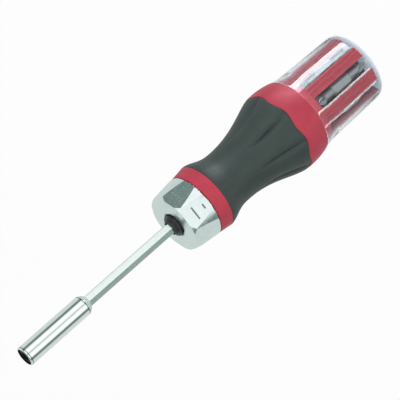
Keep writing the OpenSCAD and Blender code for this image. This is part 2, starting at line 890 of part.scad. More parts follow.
module handle_core() {
    ring_round = 0.5;
    // An odd count keeps every corner of the wave off the height where the lining starts to taper
    notch_points = 11;
    screw_hole_len = screw_len - store_base_h;
    color([0.75, 0.2, 0.26])
        difference() {
            union() {
                difference() {
                    rotate_extrude()
                        shoulder_profile();
                    for (i = [0 : lobes - 1])
                        rotate(first_lobe + lobe_angle / 2 + i * lobe_angle)
                            translate([lining_surface(z_part) - rubber_t, 0, 0])
                                rotate([90, 0, 90])
                                    linear_extrude(shoulder_r)
                                        notch_outline(notch_points);
                }
                rotate_extrude()
                    core_profile();
                rotate_extrude()
                    polygon([
                        [0, z_ring], [grip_front_r - edge_cut / 2, z_ring],
                        [ring_front_r, z_front - ring_round],
                        [ring_front_r - ring_round, z_front], [0, z_front]
                    ]);
                translate([0, 0, z_seam - cap_spigot_h])
                    cylinder(r = cap_spigot_r, h = cap_spigot_h + overrun);
            }
            translate([0, 0, z_seam - cap_spigot_h - overrun])
                cylinder(r = store_base_r, h = cap_spigot_h + overrun);
            translate([0, 0, z_seam - cap_spigot_h / 2 - seal_r])
                ring(cap_spigot_r + overrun, cap_spigot_r - 2 * seal_r + seal_squeeze, 2 * seal_r);
            translate([0, 0, z_house])
                cylinder(r = spigot_r, h = z_front - z_house + overrun);
            housing_splines(slide_fit / 2);
            translate([0, 0, z_seam - overrun])
                cylinder(r = screw_r, h = screw_hole_len + overrun);
        }
}

// Wave of the parting line between two lobes, cut outwards through the shoulder
module notch_outline(n) {
    polygon(concat(
        [
            for (i = [-n : n])
                let (a = lobe_angle / 2 * i / n)
                    [shoulder_r * sin(a), wave_z(a)]
        ],
        [
            [shoulder_r * sin(lobe_angle / 2), z_part + 2 * wave_h + overrun],
            [-shoulder_r * sin(lobe_angle / 2), z_part + 2 * wave_h + overrun]
        ]
    ));
}

// Angle about the axis where a line cut straight outwards meets radius r
function edge_z(a, r) =
    let (s = r * sin(nearest_crease(a)) / shoulder_r)
        wave_z(asin(max(-1, min(1, s))));

// One slice of the rubber at angle a: outside from the parting line to the ring, then the lining back
function grip_slice(a) =
    let (
        z_out = edge_z(a, shoulder_at(z_part)) + slide_fit / 2,
        z_in = edge_z(a, lining_surface(z_part)) + slide_fit / 2,
        z_end = z_ring - slide_fit / 2
    )
        concat(
            [
                for (i = [0 : grip_rings])
                    let (
                        u = i / grip_rings,
                        z = z_out + (z_end - z_out) * u,
                        soften = i == 0 || i == grip_rings ? grip_edge_round : 0
                    )
                        [grip_surface(a, z) - soften, z]
            ],
            [
                for (i = [lining_rings : -1 : 1])
                    let (z = z_part + grip_len * i / lining_rings)
                        [lining_surface(z) + lining_gap, min(z, z_end)]
            ],
            [for (rise = [2 * wave_h, 0]) [lining_surface(z_part) + lining_gap, z_in + rise]]
        );

module rubber_grip() {
    slices = [
        for (i = [0 : around - 1])
            let (a = i * 360 / around)
                grip_slice(a)
    ];
    n = len(slices[0]);
    color([0.2, 0.23, 0.22])
        rotate(first_lobe + lobe_angle / 2)
            polyhedron(
                points = [
                    for (i = [0 : around - 1])
                        for (p = slices[i])
                            let (a = i * 360 / around)
                                [p[0] * cos(a), p[0] * sin(a), p[1]]
                ],
                faces = [
                    for (i = [0 : around - 1])
                        for (j = [0 : n - 1])
                            for (half = [0, 1])
                                let (
                                    k = (i + 1) % around,
                                    m = (j + 1) % n,
                                    a = i * n + j,
                                    b = k * n + j,
                                    c = k * n + m,
                                    d = i * n + m
                                )
                                    half == 0 ? [a, c, b] : [a, d, c]
                ]
            );
}

// Clear cap and the store of bits

function cap_out_r(z) =
    cap_r + cap_widening_w * z / z_seam + cap_flare_w * pow(max(0, z - z_seam + skirt_len) / skirt_len, 2);

module storage_cap() {
    rim_gap = 0.15;
    z_rim = z_seam - rim_gap;
    edge_steps = 5;
    skirt_steps = 9;
    inner_round = 0.8;
    bore_r = cap_spigot_r + slide_fit;
    color([0.85, 0.9, 0.95, 0.35])
        rotate_extrude()
            polygon(concat(
                [[0, 0]],
                [
                    for (i = [0 : edge_steps])
                        let (a = 90 * i / edge_steps)
                            [cap_out_r(cap_edge_r) - cap_edge_r * (1 - sin(a)), cap_edge_r * (1 - cos(a))]
                ],
                [
                    for (i = [0 : skirt_steps])
                        let (z = z_seam - skirt_len + (z_rim - z_seam + skirt_len) * i / skirt_steps)
                            [cap_out_r(z), z]
                ],
                [
                    [bore_r, z_rim], [bore_r, z_seam - cap_spigot_h - loose_fit],
                    [cap_in_r, z_seam - skirt_len], [cap_in_r, cap_floor + inner_round],
                    [cap_in_r - inner_round, cap_floor], [0, cap_floor]
                ]
            ));
}

module cap_seal_ring() {
    color([0.62, 0.16, 0.2])
        translate([0, 0, z_seam - cap_spigot_h / 2])
            rotate_extrude()
                translate([cap_spigot_r + seal_squeeze - seal_r, 0])
                    circle(r = seal_r, $fn = trim_sides);
}

module bit_carousel() {
    rib_chamfer = 0.5;
    groove_turn = asin(rib_groove_pitch / 2 / store_r);
    color([0.76, 0.18, 0.26])
        difference() {
            rotate_extrude()
                polygon([
                    [0, z_ribs], [store_r - rib_chamfer, z_ribs], [store_r, z_ribs + rib_chamfer],
                    [store_r, z_seam - cap_spigot_h - loose_fit], [store_base_r, z_seam - cap_spigot_h],
                    [store_base_r, z_seam], [0, z_seam]
                ]);
            for (i = [0 : slots - 1])
                rotate(first_lobe + i * slot_angle)
                    translate([hub_r, -slot_w / 2, z_ribs - overrun])
                        cube([store_r, slot_w, z_seat - z_ribs + overrun]);
            for (i = [0 : slots - 1])
                for (side = [-1, 1])
                    rotate(first_lobe + slot_angle / 2 + i * slot_angle + side * groove_turn)
                        translate([0, 0, z_ribs - overrun])
                            linear_extrude(z_seat - z_ribs + overrun)
                                polygon([
                                    [store_r - rib_groove_depth, 0],
                                    [store_r + rib_groove_depth, rib_groove_w],
                                    [store_r + rib_groove_depth, -rib_groove_w]
                                ]);
            translate([0, 0, z_ribs - overrun])
                cylinder(r = screw_head_r + loose_fit, h = head_recess + overrun);
            translate([0, 0, z_ribs])
                cylinder(r = screw_r + slide_fit, h = z_seam - z_ribs + overrun);
        }
}

module carousel_screw() {
    drive_w = 0.9;
    drive_depth = 1.3;
    screw_z = z_ribs + head_recess;
    color([0.45, 0.46, 0.47])
        difference() {
            union() {
                translate([0, 0, screw_z - screw_head_h])
                    cylinder(r = screw_head_r, h = screw_head_h);
                translate([0, 0, screw_z])
                    cylinder(r = screw_r, h = z_seam + screw_len - store_base_h - screw_z);
            }
            for (a = [0, 90])
                rotate(a)
                    translate([-screw_head_r / 2, -drive_w / 2, screw_z - screw_head_h - overrun])
                        cube([screw_head_r, drive_w, drive_depth + overrun]);
        }
}

// Bits. Each stands with its first tip up at z = 0 of these modules, pointing to +Z

module hex_middle() {
    notch_r = 0.7;
    neck_cone = 1.6;
    difference() {
        intersection() {
            hex_bar(bit_af, bit_hex_len);
            rotate_extrude()
                polygon([
                    [0, 0], [bit_neck_r + edge_cut, 0], [bit_corner_r, neck_cone],
                    [bit_corner_r, bit_hex_len - neck_cone],
                    [bit_neck_r + edge_cut, bit_hex_len], [0, bit_hex_len]
                ]);
        }
        for (i = [0 : 5])
            rotate(i * 60)
                translate([bit_corner_r + notch_r / 2, 0, bit_hex_len / 2])
                    sphere(r = notch_r, $fn = trim_sides);
    }
}

// Cross tip: a blunt cone on a shank, with four flutes
module cross_tip(shank_r, flute) {
    cone_len = 4.2;
    point_r = 0.8;
    difference() {
        union() {
            cylinder(r = bit_neck_r, h = tip_len - cone_len - shank_r);
            translate([0, 0, tip_len - cone_len - shank_r])
                cylinder(r1 = bit_neck_r, r2 = shank_r, h = shank_r - point_r);
            translate([0, 0, tip_len - cone_len - point_r])
                cylinder(r = shank_r, h = point_r);
            translate([0, 0, tip_len - cone_len])
                cylinder(r1 = shank_r, r2 = point_r, h = cone_len);
        }
        for (i = [0 : 3])
            rotate(45 + i * 90)
                translate([flute, 0, tip_len - cone_len - shank_r + point_r])
                    rotate(-45)
                        cube([shank_r * 2, shank_r * 2, tip_len]);
    }
}

// Flat tip: a shank ground to a blade
module flat_tip(blade_w, blade_t) {
    grind = 6;
    grind_angle = 14;
    difference() {
        union() {
            cylinder(r = bit_neck_r, h = tip_len - grind);
            translate([0, 0, tip_len - grind])
                cylinder(r = blade_w / 2, h = grind);
        }
        for (s = [0, 1])
            rotate(s * 180)
                translate([blade_t / 2, -blade_w, tip_len])
                    rotate([0, -grind_angle, 0])
                        translate([0, 0, -2 * grind])
                            cube([blade_w, 2 * blade_w, 3 * grind]);
    }
}

// Star tip: a pin with six soft lobes
module star_tip(pin_r) {
    pin_len = 5;
    lobe_share = 0.09;
    star_step = 10;
    union() {
        cylinder(r = bit_neck_r, h = tip_len - pin_len - bit_neck_r / 2);
        translate([0, 0, tip_len - pin_len - bit_neck_r / 2])
            cylinder(r1 = bit_neck_r, r2 = pin_r * (1 - 2 * lobe_share), h = bit_neck_r / 2);
        translate([0, 0, tip_len - pin_len])
            linear_extrude(pin_len)
                polygon([
                    for (a = [0 : star_step : 360 - star_step])
                        pin_r * (1 - lobe_share + lobe_share * cos(6 * a)) * [cos(a), sin(a)]
                ]);
    }
}

// Square or hexagon tip
module key_tip(key_r, sides) {
    key_len = 5;
    cone_share = 0.8;
    union() {
        cylinder(r = bit_neck_r, h = tip_len - key_len - bit_neck_r / 2);
        translate([0, 0, tip_len - key_len - bit_neck_r / 2])
            cylinder(r1 = bit_neck_r, r2 = cone_share * key_r, h = bit_neck_r / 2);
        translate([0, 0, tip_len - key_len])
            cylinder(r = key_r, h = key_len, $fn = sides);
    }
}

module tip(kind) {
    if (kind == "cross large")
        cross_tip(cross_large_r, cross_large_flute);
    if (kind == "cross small")
        cross_tip(cross_small_r, cross_small_flute);
    if (kind == "flat wide")
        flat_tip(flat_wide_w, flat_wide_t);
    if (kind == "flat narrow")
        flat_tip(flat_narrow_w, flat_narrow_t);
    if (kind == "star large")
        star_tip(star_large_r);
    if (kind == "star small")
        star_tip(star_small_r);
    if (kind == "square")
        key_tip(square_key_r, 4);
    if (kind == "hexagon")
        key_tip(hexagon_key_r, 6);
}

// Bit i lies in slot i, its flat on the hub; up is its tip towards the shaft
module bit_in_slot(i) {
    color([0.46, 0.49, 0.49])
        rotate(first_lobe + i * slot_angle)
            translate([bit_pitch_r, 0, z_bits])
                rotate(30) {
                    translate([0, 0, tip_len])
                        hex_middle();
                    translate([0, 0, tip_len + bit_hex_len])
                        tip(bit_tips[i][0]);
                    translate([0, 0, tip_len])
                        rotate([180, 0, 0])
                            tip(bit_tips[i][1]);
                }
}

bit_sleeve();
socket_magnet();
bit_retaining_ring();
drive_shaft();
ratchet_gear();
thrust_washer();
shaft_clip();
nose_bushing();
nose_wiper();
front_bush();
rear_bush();
selector_collar();
selector_cam();
ratchet_housing();
cover_plate();
cover_screws();
pawl_forward();
pawl_reverse();
pawl_pins();
pawl_springs();
detent_ball();
detent_spring();
handle_core();
rubber_grip();
storage_cap();
cap_seal_ring();
bit_carousel();
carousel_screw();
bit_in_slot(0);  // bit_1
bit_in_slot(1);  // bit_2
bit_in_slot(2);  // bit_3
bit_in_slot(3);  // bit_4
bit_in_slot(4);  // bit_5
bit_in_slot(5);  // bit_6
bit_in_slot(6);  // bit_7
bit_in_slot(7);  // bit_8
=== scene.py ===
"""The looks of a ratcheting screwdriver: finer shells over its frame, its finishes, and a white studio."""

import json
import math
import bmesh
import bpy
from mathutils import Matrix, Vector


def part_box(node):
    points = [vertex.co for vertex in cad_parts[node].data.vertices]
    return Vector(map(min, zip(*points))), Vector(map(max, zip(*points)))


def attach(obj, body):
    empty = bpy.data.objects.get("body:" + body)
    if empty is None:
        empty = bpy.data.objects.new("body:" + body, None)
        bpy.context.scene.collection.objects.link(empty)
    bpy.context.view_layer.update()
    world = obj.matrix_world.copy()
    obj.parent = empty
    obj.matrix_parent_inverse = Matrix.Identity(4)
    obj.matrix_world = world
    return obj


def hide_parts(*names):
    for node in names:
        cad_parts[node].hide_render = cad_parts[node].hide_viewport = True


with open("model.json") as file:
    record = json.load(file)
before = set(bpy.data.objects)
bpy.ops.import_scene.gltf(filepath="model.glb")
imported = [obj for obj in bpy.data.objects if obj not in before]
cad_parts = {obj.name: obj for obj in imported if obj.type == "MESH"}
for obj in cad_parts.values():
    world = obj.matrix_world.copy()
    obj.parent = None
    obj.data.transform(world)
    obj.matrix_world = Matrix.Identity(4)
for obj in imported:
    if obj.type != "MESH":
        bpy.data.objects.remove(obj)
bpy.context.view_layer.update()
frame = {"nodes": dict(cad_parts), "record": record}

MM = 0.001

# Where the pieces begin and end along the axis, read from the frame
Z_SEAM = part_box("bit_carousel")[1].z
Z_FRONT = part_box("handle_core")[1].z
Z_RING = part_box("rubber_grip")[1].z + 0.05 * MM
Z_SLEEVE, Z_TIP = (corner.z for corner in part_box("bit_sleeve"))
Z_CONE = Z_SLEEVE + 3 * MM
MOUTH_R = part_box("bit_sleeve")[1].x - 0.7 * MM
# How far cutters and painted zones reach past what they meet
BEYOND = 1 * MM
Z_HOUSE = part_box("ratchet_housing")[0].z
Z_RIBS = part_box("bit_carousel")[0].z
CAP_SPIGOT_H = Z_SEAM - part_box("handle_core")[0].z

# Lobes of the grip and slots of the store share one pitch, with one of them facing -Y
LOBES = 8
LOBE_ANGLE = 2 * math.pi / LOBES
FIRST_LOBE = math.radians(-90)

# Handle
SHOULDER_LEN = 14.2 * MM
SHOULDER_SWELL = 1.4 * MM
SWELL_SHARE = 0.76
SHOULDER_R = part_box("handle_core")[1].x - 0.02 * MM
Z_PART = Z_SEAM + SHOULDER_LEN
GRIP_LEN = Z_RING - Z_PART
WAIST_R = 15.4 * MM
GRIP_FRONT_R = 19.1 * MM
RING_FRONT_R = 18.05 * MM
RUBBER_T = 2.4 * MM
CREASE_DEPTH = 2.1 * MM
WAVE_H = 0.72 * MM
WAIST_SHARE = 0.677
REAR_CURVE = 0.72
FRONT_CURVE = 1.417
CREASE_PEAK_SHARE = 0.2
CREASE_FADE_SHARE = 0.6
EDGE_CREASE_SHARE = 0.28
CROWN_SHARE = 0.5
GROOVE_WIDTH_SHARE = 0.26
GROOVE_POWER = 1.3
LINING_GAP = 0.08 * MM
LIP_GAP = 0.05 * MM
STORE_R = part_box("bit_carousel")[1].x
STORE_BASE_R = STORE_R - 1.58 * MM
CAP_SPIGOT_R = STORE_BASE_R + 2.5 * MM


def shoulder_at(z):
    """Radius of the red shoulder at height z."""
    peak = SWELL_SHARE * SHOULDER_LEN
    return SHOULDER_R - SHOULDER_SWELL * ((z - Z_SEAM - peak) / peak) ** 2


def grip_over_lobes(t):
    """Radius of the grip over its lobes, t from 0 at the parting line to 1 at the front ring."""
    t = min(1.0, max(0.0, t))
    if t < WAIST_SHARE:
        share = (1 + math.cos(math.pi * (t / WAIST_SHARE) ** REAR_CURVE)) / 2
        return WAIST_R + share * (shoulder_at(Z_PART) - WAIST_R)
    share = (1 - math.cos(math.pi * ((t - WAIST_SHARE) / (1 - WAIST_SHARE)) ** FRONT_CURVE)) / 2
    return WAIST_R + share * (GRIP_FRONT_R - WAIST_R)


def crease_share(t):
    """How deep a crease is along the grip, as a share of its full depth."""
    if t < 0:
        return EDGE_CREASE_SHARE
    if t < CREASE_PEAK_SHARE:
        return EDGE_CREASE_SHARE + (1 - EDGE_CREASE_SHARE) * math.sin(math.pi / 2 * t / CREASE_PEAK_SHARE)
    if t < CREASE_FADE_SHARE:
        fade = (t - CREASE_PEAK_SHARE) / (CREASE_FADE_SHARE - CREASE_PEAK_SHARE)
        return (1 + math.cos(math.pi * fade)) / 2
    return 0.0


def from_crease(a):
    """Angle from the nearest crease."""
    a -= FIRST_LOBE + LOBE_ANGLE / 2
    return a - LOBE_ANGLE * round(a / LOBE_ANGLE)


def crease_form(a):
    """Section of a crease across a lobe: a shallow crown with a narrow groove at its edge."""
    across = 1 - abs(from_crease(a)) / (LOBE_ANGLE / 2)
    groove = max(0.0, 1 - (1 - across) / GROOVE_WIDTH_SHARE) ** GROOVE_POWER
    return CROWN_SHARE * across ** 2 + (1 - CROWN_SHARE) * groove


def grip_surface(a, z):
    """Radius of the rubber's outside."""
    t = (z - Z_PART) / GRIP_LEN
    return grip_over_lobes(t) - CREASE_DEPTH * crease_share(t) * crease_form(a)


def lining_surface(z):
    """Radius of the core under the rubber."""
    return grip_over_lobes((z - Z_PART) / GRIP_LEN) - RUBBER_T


def parting_z(a, r):
    """Height of the wavy edge between red and rubber, cut straight outwards through each lobe."""
    side = max(-1.0, min(1.0, r * math.sin(from_crease(a)) / SHOULDER_R))
    return Z_PART - WAVE_H * math.cos(LOBES * math.asin(side))


# Mesh builders


def rounded(corners, steps=5, closed=True):
    """An outline of (r, z) points from corners (r, z, fillet radius): each fillet becomes an arc."""
    points = []
    count = len(corners)
    for i, (r, z, fillet) in enumerate(corners):
        corner = Vector((r, z))
        if fillet == 0 or (not closed and i in (0, count - 1)):
            points.append((r, z))
            continue
        back = (Vector(corners[i - 1][:2]) - corner).normalized()
        ahead = (Vector(corners[(i + 1) % count][:2]) - corner).normalized()
        half = back.angle(ahead) / 2
        centre = corner + (back + ahead).normalized() * fillet / math.sin(half)
        start = corner + back * fillet / math.tan(half) - centre
        end = corner + ahead * fillet / math.tan(half) - centre
        first = math.atan2(start.y, start.x)
        turn = math.atan2(end.y, end.x) - first
        turn = (turn + math.pi) % (2 * math.pi) - math.pi
        for k in range(steps + 1):
            a = first + turn * k / steps
            points.append((centre.x + fillet * math.cos(a), centre.y + fillet * math.sin(a)))
    return points


def finish_mesh(name, verts, faces, sharp_angle):
    """A mesh object with outward normals, smooth but for edges sharper than the given angle."""
    mesh = bpy.data.meshes.new(name)
    mesh.from_pydata(verts, [], faces)
    work = bmesh.new()
    work.from_mesh(mesh)
    bmesh.ops.remove_doubles(work, verts=work.verts, dist=0.001 * MM)
    bmesh.ops.dissolve_degenerate(work, edges=work.edges, dist=0.001 * MM)
    bmesh.ops.recalc_face_normals(work, faces=work.faces)
    work.to_mesh(mesh)
    work.free()
    mesh.shade_smooth()
    mesh.set_sharp_from_angle(angle=math.radians(sharp_angle))
    obj = bpy.data.objects.new(name, mesh)
    bpy.context.scene.collection.objects.link(obj)
    return obj


def lathe(name, slice_at, angles, poles=False, sharp_angle=35):
    """A closed mesh round +Z: slice_at(a) gives the (r, z) points of the half section at angle a.
    With poles, the section starts and ends on the axis; otherwise it is a closed outline."""
    verts = []
    for a in angles:
        for r, z in slice_at(a):
            verts.append((r * math.cos(a), r * math.sin(a), z))
    n = len(verts) // len(angles)
    faces = []
    for i in range(len(angles)):
        k = (i + 1) % len(angles)
        for j in range(n - 1 if poles else n):
            m = (j + 1) % n
            faces.append((i * n + j, k * n + j, k * n + m, i * n + m))
    return finish_mesh(name, verts, faces, sharp_angle)


def prism(name, outline, low, high):
    """A closed mesh from a flat outline of (x, y) points, between two heights."""
    n = len(outline)
    verts = [(x, y, z) for z in (low, high) for x, y in outline]
    faces = [(i, (i + 1) % n, (i + 1) % n + n, i + n) for i in range(n)]
    return finish_mesh(name, verts, faces + [tuple(range(n)), tuple(range(n, 2 * n))], 35)


def turned(points, angle, radius=0.0):
    """Outline points moved out along +X by a radius, then turned round the axis."""
    c, s = math.cos(angle), math.sin(angle)
    return [((x + radius) * c - y * s, (x + radius) * s + y * c) for x, y in points]


def carve(obj, cutters, edge_r):
    """Cut meshes out of an object and round its edges. Cut faces keep the cutters' materials."""
    for cutter in cutters:
        cut = obj.modifiers.new(cutter.name, "BOOLEAN")
        cut.operation = "DIFFERENCE"
        cut.solver = "EXACT"
        cut.material_mode = "TRANSFER"
        cut.object = cutter
    bevel = obj.modifiers.new("rounding", "BEVEL")
    bevel.width = edge_r
    bevel.segments = 2
    bevel.limit_method = "ANGLE"
    bevel.angle_limit = math.radians(40)
    bpy.context.view_layer.update()
    made = bpy.data.meshes.new_from_object(obj.evaluated_get(bpy.context.evaluated_depsgraph_get()))
    obj.modifiers.clear()
    obj.data = made
    made.shade_smooth()
    made.set_sharp_from_angle(angle=math.radians(35))
    for cutter in cutters:
        bpy.data.objects.remove(cutter)
    return obj


def even_angles(count):
    return [2 * math.pi * i / count for i in range(count)]


# Finishes


def srgb(r, g, b):
    """A colour written as 0-255 screen values, as the linear values that shaders take."""
    parts = []
    for v in (r, g, b):
        v /= 255
        parts.append(v / 12.92 if v <= 0.04045 else ((v + 0.055) / 1.055) ** 2.4)
    return (*parts, 1.0)


class Finish:
    """A Principled material with helpers that add procedural detail in object coordinates."""

    def __init__(self, name, colour, metallic=0.0, roughness=0.5, **sockets):
        self.name = name
        self.mat = bpy.data.materials.new(name + "_finish")
        self.mat.use_nodes = True
        self.tree = self.mat.node_tree
        self.tree.nodes.clear()
        self.out = self.node("ShaderNodeOutputMaterial")
        self.shader = self.node("ShaderNodeBsdfPrincipled")
        self.link(self.shader.outputs[0], self.out.inputs["Surface"])
        self.coords = self.node("ShaderNodeTexCoord").outputs["Object"]
        self.shader.inputs["Base Color"].default_value = colour
        self.shader.inputs["Metallic"].default_value = metallic
        self.shader.inputs["Roughness"].default_value = roughness
        for key, value in sockets.items():
            self.shader.inputs[key.replace("_", " ")].default_value = value

    def node(self, kind, **settings):
        made = self.tree.nodes.new(kind)
        for key, value in settings.items():
            setattr(made, key, value)
        return made

    def link(self, a, b):
        self.tree.links.new(a, b)

    def noise(self, size, stretch=(1, 1, 1), detail=3.0):
        """Noise whose blobs are about size metres across, drawn out along each axis by stretch."""
        mapping = self.node("ShaderNodeMapping")
        mapping.inputs["Scale"].default_value = tuple(1 / (size * s) for s in stretch)
        self.link(self.coords, mapping.inputs["Vector"])
        made = self.node("ShaderNodeTexNoise")
        made.inputs["Scale"].default_value = 1.0
        made.inputs["Detail"].default_value = detail
        self.link(mapping.outputs[0], made.inputs["Vector"])
        return made.outputs["Fac"]

    def span(self, value, low, high, start=0.3, end=0.7):
        """value mapped from start..end to low..high, clamped."""
        made = self.node("ShaderNodeMapRange")
        for key, v in (("From Min", start), ("From Max", end), ("To Min", low), ("To Max", high)):
            made.inputs[key].default_value = v
        self.link(value, made.inputs["Value"])
        return made.outputs[0]

    def mix(self, factor, a, b):
        """Two colours, each a value or a socket, mixed by a factor socket."""
        made = self.node("ShaderNodeMix", data_type="RGBA")
        self.link(factor, made.inputs["Factor"])
        for index, value in ((6, a), (7, b)):
            if isinstance(value, tuple):
                made.inputs[index].default_value = value
            else:
                self.link(value, made.inputs[index])
        return made.outputs[2]

    def paint(self, factor, colour, strength=1.0):
        """Colour laid over what is there already, where factor is near 1."""
        base = self.shader.inputs["Base Color"]
        under = base.links[0].from_socket if base.is_linked else tuple(base.default_value)
        if strength != 1.0:
            factor = self.span(factor, 0, strength, 0, 1)
        self.link(self.mix(factor, under, colour), base)
        return self

    def mottle(self, size, colour, strength=1.0, stretch=(1, 1, 1), low=0.35, high=0.65):
        """Patches of another colour, size metres across."""
        return self.paint(self.span(self.noise(size, stretch), 0, 1, low, high), colour, strength)

    def rough(self, size, low, high, stretch=(1, 1, 1)):
        self.link(self.span(self.noise(size, stretch), low, high), self.shader.inputs["Roughness"])
        return self

    def bump(self, height, depth, strength=1.0):
        """Relief of depth metres from a height socket, over any relief there already."""
        made = self.node("ShaderNodeBump")
        made.inputs["Strength"].default_value = strength
        made.inputs["Distance"].default_value = depth
        self.link(height, made.inputs["Height"])
        normal = self.shader.inputs["Normal"]
        if normal.is_linked:
            self.link(normal.links[0].from_socket, made.inputs["Normal"])
        self.link(made.outputs[0], normal)
        return self

    def edges(self, radius):
        """Edges look rounded by radius metres."""
        made = self.node("ShaderNodeBevel", samples=6)
        made.inputs["Radius"].default_value = radius
        self.link(made.outputs[0], self.shader.inputs["Normal"])
        return self

    def rim(self, colour, blend):
        """Another colour where the surface turns away, as in the thick side of a clear wall."""
        made = self.node("ShaderNodeLayerWeight")
        made.inputs["Blend"].default_value = blend
        return self.paint(made.outputs["Facing"], colour)

    def within(self, value, low, high, colour):
        """Another colour where value lies between low and high."""
        middle = self.node("ShaderNodeMath", operation="COMPARE")
        middle.inputs[1].default_value = (low + high) / 2
        middle.inputs[2].default_value = (high - low) / 2
        self.link(value, middle.inputs[0])
        return self.paint(middle.outputs[0], colour)

    def from_axis(self):
        """Distance from the tool's axis."""
        flat = self.node("ShaderNodeVectorMath", operation="MULTIPLY")
        flat.inputs[1].default_value = (1, 1, 0)
        self.link(self.coords, flat.inputs[0])
        far = self.node("ShaderNodeVectorMath", operation="LENGTH")
        self.link(flat.outputs[0], far.inputs[0])
        return far.outputs["Value"]

    def along_axis(self):
        """Height along the tool's axis."""
        parts = self.node("ShaderNodeSeparateXYZ")
        self.link(self.coords, parts.inputs[0])
        return parts.outputs["Z"]

    def lets_light_in(self):
        """Rays from the lamps pass, so that what is behind the clear wall is lit."""
        path = self.node("ShaderNodeLightPath")
        clear = self.node("ShaderNodeBsdfTransparent")
        both = self.node("ShaderNodeMixShader")
        self.link(path.outputs["Is Shadow Ray"], both.inputs[0])
        self.link(self.shader.outputs[0], both.inputs[1])
        self.link(clear.outputs[0], both.inputs[2])
        self.link(both.outputs[0], self.out.inputs["Surface"])
        return self


FINISHES = {}


def keep(finish):
    """A finish filed under its name, which is a material slot of the record."""
    FINISHES[finish.name] = finish.mat
    return finish


red = keep(Finish("red_plastic", srgb(190, 66, 82), 0, 0.45, Specular_IOR_Level=0.2))
red.mottle(6 * MM, srgb(182, 62, 78), 0.7).rough(3 * MM, 0.4, 0.5)
red.bump(red.noise(0.35 * MM, detail=2), 0.02 * MM, 0.5)

store = keep(Finish("store_plastic", srgb(176, 44, 62), 0, 0.35))
store.mottle(5 * MM, srgb(164, 40, 58), 0.7).rough(3 * MM, 0.3, 0.42)
store.bump(store.noise(0.4 * MM, detail=2), 0.02 * MM, 0.5)

rubber = keep(Finish("grip_rubber", srgb(55, 67, 63), 0, 0.5, Specular_IOR_Level=0.45))
rubber.mottle(9 * MM, srgb(48, 59, 56), 0.7).mottle(0.5 * MM, srgb(70, 82, 78), 0.35, low=0.5, high=0.75)
rubber.rough(1.5 * MM, 0.45, 0.6)
rubber.bump(rubber.noise(0.3 * MM, detail=4), 0.05 * MM, 0.6)

clear = keep(Finish(
    "clear_plastic", srgb(252, 253, 255), 0, 0.03,
    Transmission_Weight=1.0, IOR=1.3, Coat_Weight=1.0, Coat_Roughness=0.1, Coat_IOR=1.5,
))
clear.rim(srgb(176, 192, 214), 0.35).rough(8 * MM, 0.02, 0.06)
clear.bump(clear.noise(14 * MM, detail=1), 0.06 * MM, 0.2)
clear.lets_light_in()

seal = keep(Finish("seal_rubber", srgb(176, 64, 78), 0, 0.4))
seal.mottle(1 * MM, srgb(190, 80, 92), 0.6).rough(0.6 * MM, 0.35, 0.5)

black = keep(Finish("black_plastic", srgb(36, 38, 38), 0, 0.3))
black.edges(0.25 * MM).mottle(2 * MM, srgb(44, 47, 46), 0.7).rough(1 * MM, 0.24, 0.36)
black.bump(black.noise(0.25 * MM), 0.02 * MM, 0.5)

# Painted shade in the slots: their walls take a darker copy of the store's red, turning near black towards
# the axis
slot_painted_shade = Finish("slot_painted_shade", srgb(160, 42, 58), 0, 0.4)
slot_painted_shade.mottle(3 * MM, srgb(146, 38, 54), 0.6).rough(1.5 * MM, 0.36, 0.46)
slot_painted_shade.paint(slot_painted_shade.span(slot_painted_shade.from_axis(), 1, 0, 14 * MM, 16.5 * MM), srgb(32, 26, 38))

# Frosted plastic with a faint painted glow, which stands for the light it passes from below
end_frost_painted_glow = Finish(
    "end_frost_painted_glow", srgb(224, 232, 236), 0, 0.6, Emission_Color=srgb(214, 224, 232), Emission_Strength=0.3
)
end_frost_painted_glow.mottle(2 * MM, srgb(214, 223, 228), 0.5).rough(0.6 * MM, 0.55, 0.7)

mark_paint = Finish("mark_paint", srgb(112, 126, 122), 0, 0.5)
mark_paint.mottle(0.8 * MM, srgb(138, 150, 147), 0.6).rough(0.4 * MM, 0.4, 0.6)

wiper = keep(Finish("wiper_rubber", srgb(40, 42, 42), 0, 0.5))
wiper.edges(0.15 * MM).mottle(1 * MM, srgb(54, 57, 56), 0.6).rough(0.6 * MM, 0.4, 0.6)

collar = keep(Finish("collar_metal", srgb(236, 246, 244), 1.0, 0.22))
collar.edges(0.15 * MM).mottle(3 * MM, srgb(222, 234, 232), 0.5).rough(1.2 * MM, 0.18, 0.28)
collar.bump(collar.noise(0.3 * MM), 0.03 * MM, 0.6)

# Name, colour, metallic, roughness and radius of the rounded edges
steel_detail = (
    ("sleeve_steel", (248, 252, 250), 1.0, 0.07, 0.2 * MM),
    ("shaft_steel", (244, 254, 250), 1.0, 0.26, 0.15 * MM),
    ("bit_steel", (150, 162, 160), 0.6, 0.4, 0.12 * MM),
    ("gear_steel", (168, 172, 174), 0.95, 0.3, 0.1 * MM),
    ("housing_metal", (176, 182, 184), 0.9, 0.4, 0.2 * MM),
    ("plate_steel", (188, 192, 194), 0.95, 0.28, 0.1 * MM),
    ("pin_steel", (200, 204, 206), 1.0, 0.2, 0.05 * MM),
    ("spring_steel", (176, 180, 186), 1.0, 0.25, 0.03 * MM),
    ("screw_steel", (150, 154, 158), 1.0, 0.3, 0.08 * MM),
    ("magnet_metal", (170, 172, 176), 1.0, 0.25, 0.1 * MM),
    ("bush_bronze", (184, 140, 92), 1.0, 0.35, 0.1 * MM),
)

# The sleeve's matt rear cone, and the dark lines at the cone's edge and near the mouth
CONE_METALLIC = 0.1
CONE_ROUGHNESS = 0.6
CONE_FADE = 0.3 * MM
CONE_LINE_W = 0.5 * MM
TIP_LINE_FROM = 1.3 * MM
TIP_LINE_TO = 0.75 * MM

